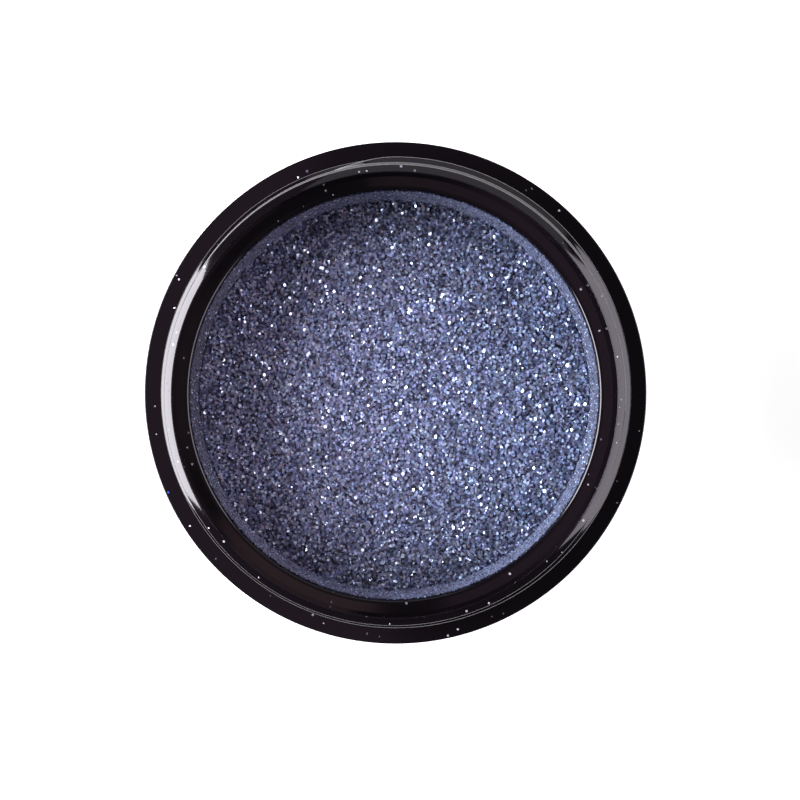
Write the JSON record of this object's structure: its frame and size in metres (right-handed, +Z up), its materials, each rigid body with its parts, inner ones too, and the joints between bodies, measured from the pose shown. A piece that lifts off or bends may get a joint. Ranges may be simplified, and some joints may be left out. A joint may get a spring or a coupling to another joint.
{
  "type": "glitter eyeshadow pot",
  "caption": "Round screw-top pot of loose glitter eyeshadow, open, with its threaded lid lying upside-down beside it.",
  "frame": {"origin": "centre of the pot's resting face, on the pot's own axis at table height", "axes": "+Z up along the pot's axis, out of its mouth; +X from the pot towards the lid on the table; +Y to the back"},
  "size_m": [0.083, 0.034, 0.0155],
  "materials": {
    "shell_plastic": "glossy black moulding with fine scratches and dust",
    "cup_plastic": "glossy black moulding, dusted with powder near the glitter",
    "base_plastic": "fine satin moulded face",
    "label_paper": "plain uncoated paper, blank",
    "glitter": "loose blue-grey and silver metallic flakes",
    "lid_plastic": "glossy black moulding with fine scratches",
    "insert_plastic": "semi-gloss black moulding",
    "liner_foam": "white closed-cell foam with a satin skin"
  },
  "bodies": {
    "pot": {"outer_shell": "shell_plastic", "inner_cup": "cup_plastic", "base_disc": "base_plastic", "base_label": "label_paper", "glitter_bed": "glitter"},
    "lid_seal": {"lid_liner": "liner_foam"},
    "lid": {"lid_shell": "lid_plastic", "lid_insert": "insert_plastic"}
  },
  "joints": [
    {"name": "lid_turn_over", "type": "hinge", "parent": "pot", "child": "lid_seal", "pos_m": [0.0245, 0, 0.012], "axis": [0, -1, 0], "range_deg": [0, 180]},
    {"name": "lid_screw", "type": "hinge", "parent": "lid_seal", "child": "lid", "pos_m": [0.049, 0, 0], "axis": [0, 0, 1], "range_deg": [0, 450]}
  ]
}
